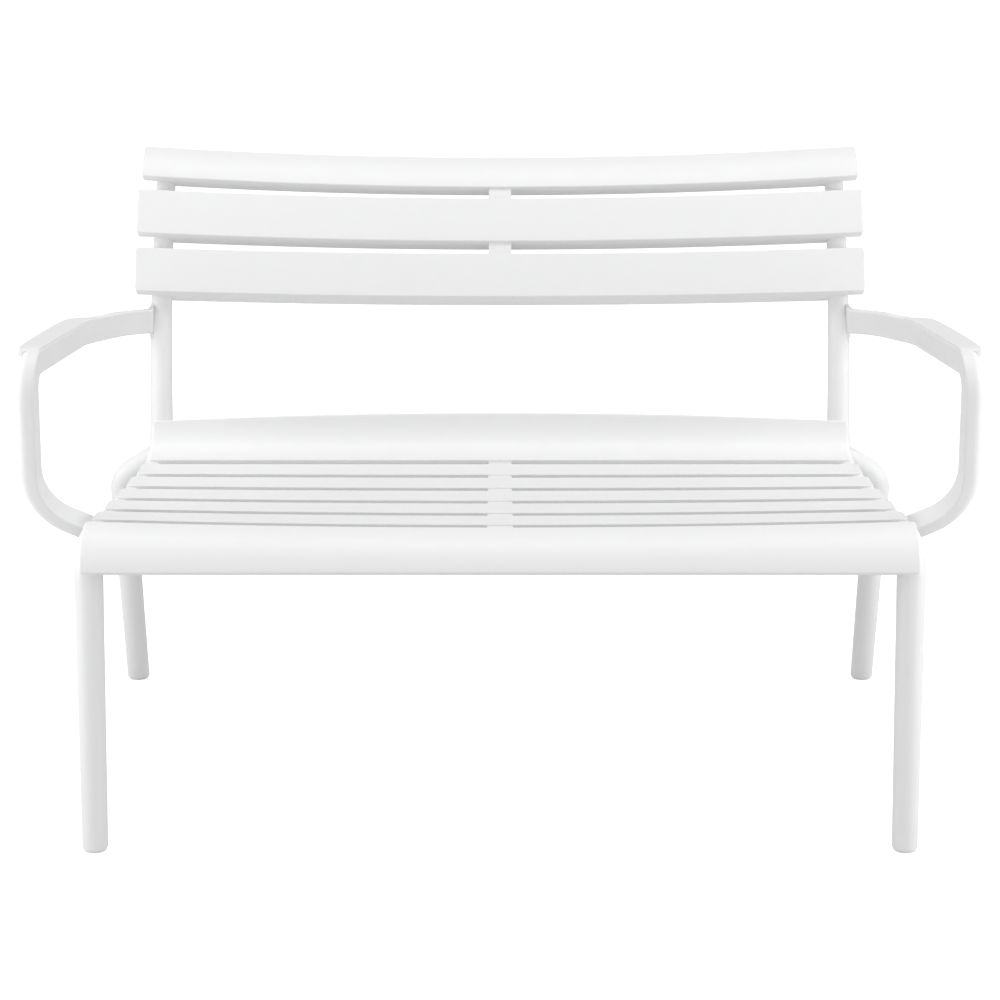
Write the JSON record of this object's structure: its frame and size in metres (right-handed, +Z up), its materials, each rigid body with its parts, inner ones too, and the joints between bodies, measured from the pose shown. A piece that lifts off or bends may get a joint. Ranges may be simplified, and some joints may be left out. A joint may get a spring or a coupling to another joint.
{
  "type": "garden bench",
  "caption": "Slatted outdoor lounge bench with arms: dished seat and bowed back slats saddled over two bent, tapered tube frames.",
  "frame": {"origin": "middle of the bounding box, on the floor", "axes": "+X to the right as the picture shows the bench, +Y from the front to the back, +Z up"},
  "size_m": [1.138, 0.6845, 0.7709],
  "materials": {
    "slat_resin": "satin white moulded resin",
    "frame_resin": "satin white moulded resin",
    "arm_resin": "satin white moulded resin",
    "glide_plastic": "matt white plastic"
  },
  "bodies": {
    "root": {"seat_front_roll": "slat_resin", "seat_slat_1": "slat_resin", "seat_slat_2": "slat_resin", "seat_slat_3": "slat_resin", "seat_slat_4": "slat_resin", "seat_slat_5": "slat_resin", "seat_rear_roll": "slat_resin", "back_slat_bottom": "slat_resin", "back_slat_middle": "slat_resin", "back_slat_top": "slat_resin", "seat_centre_rib": "frame_resin", "back_centre_strip": "frame_resin", "side_frame_right": "frame_resin", "side_frame_left": "frame_resin", "rear_leg_right": "frame_resin", "rear_leg_left": "frame_resin", "arm_right": "arm_resin", "arm_left": "arm_resin", "armrest_right": "arm_resin", "armrest_left": "arm_resin", "glide_front_right": "glide_plastic", "glide_front_left": "glide_plastic", "glide_rear_right": "glide_plastic", "glide_rear_left": "glide_plastic"}
  },
  "joints": []
}
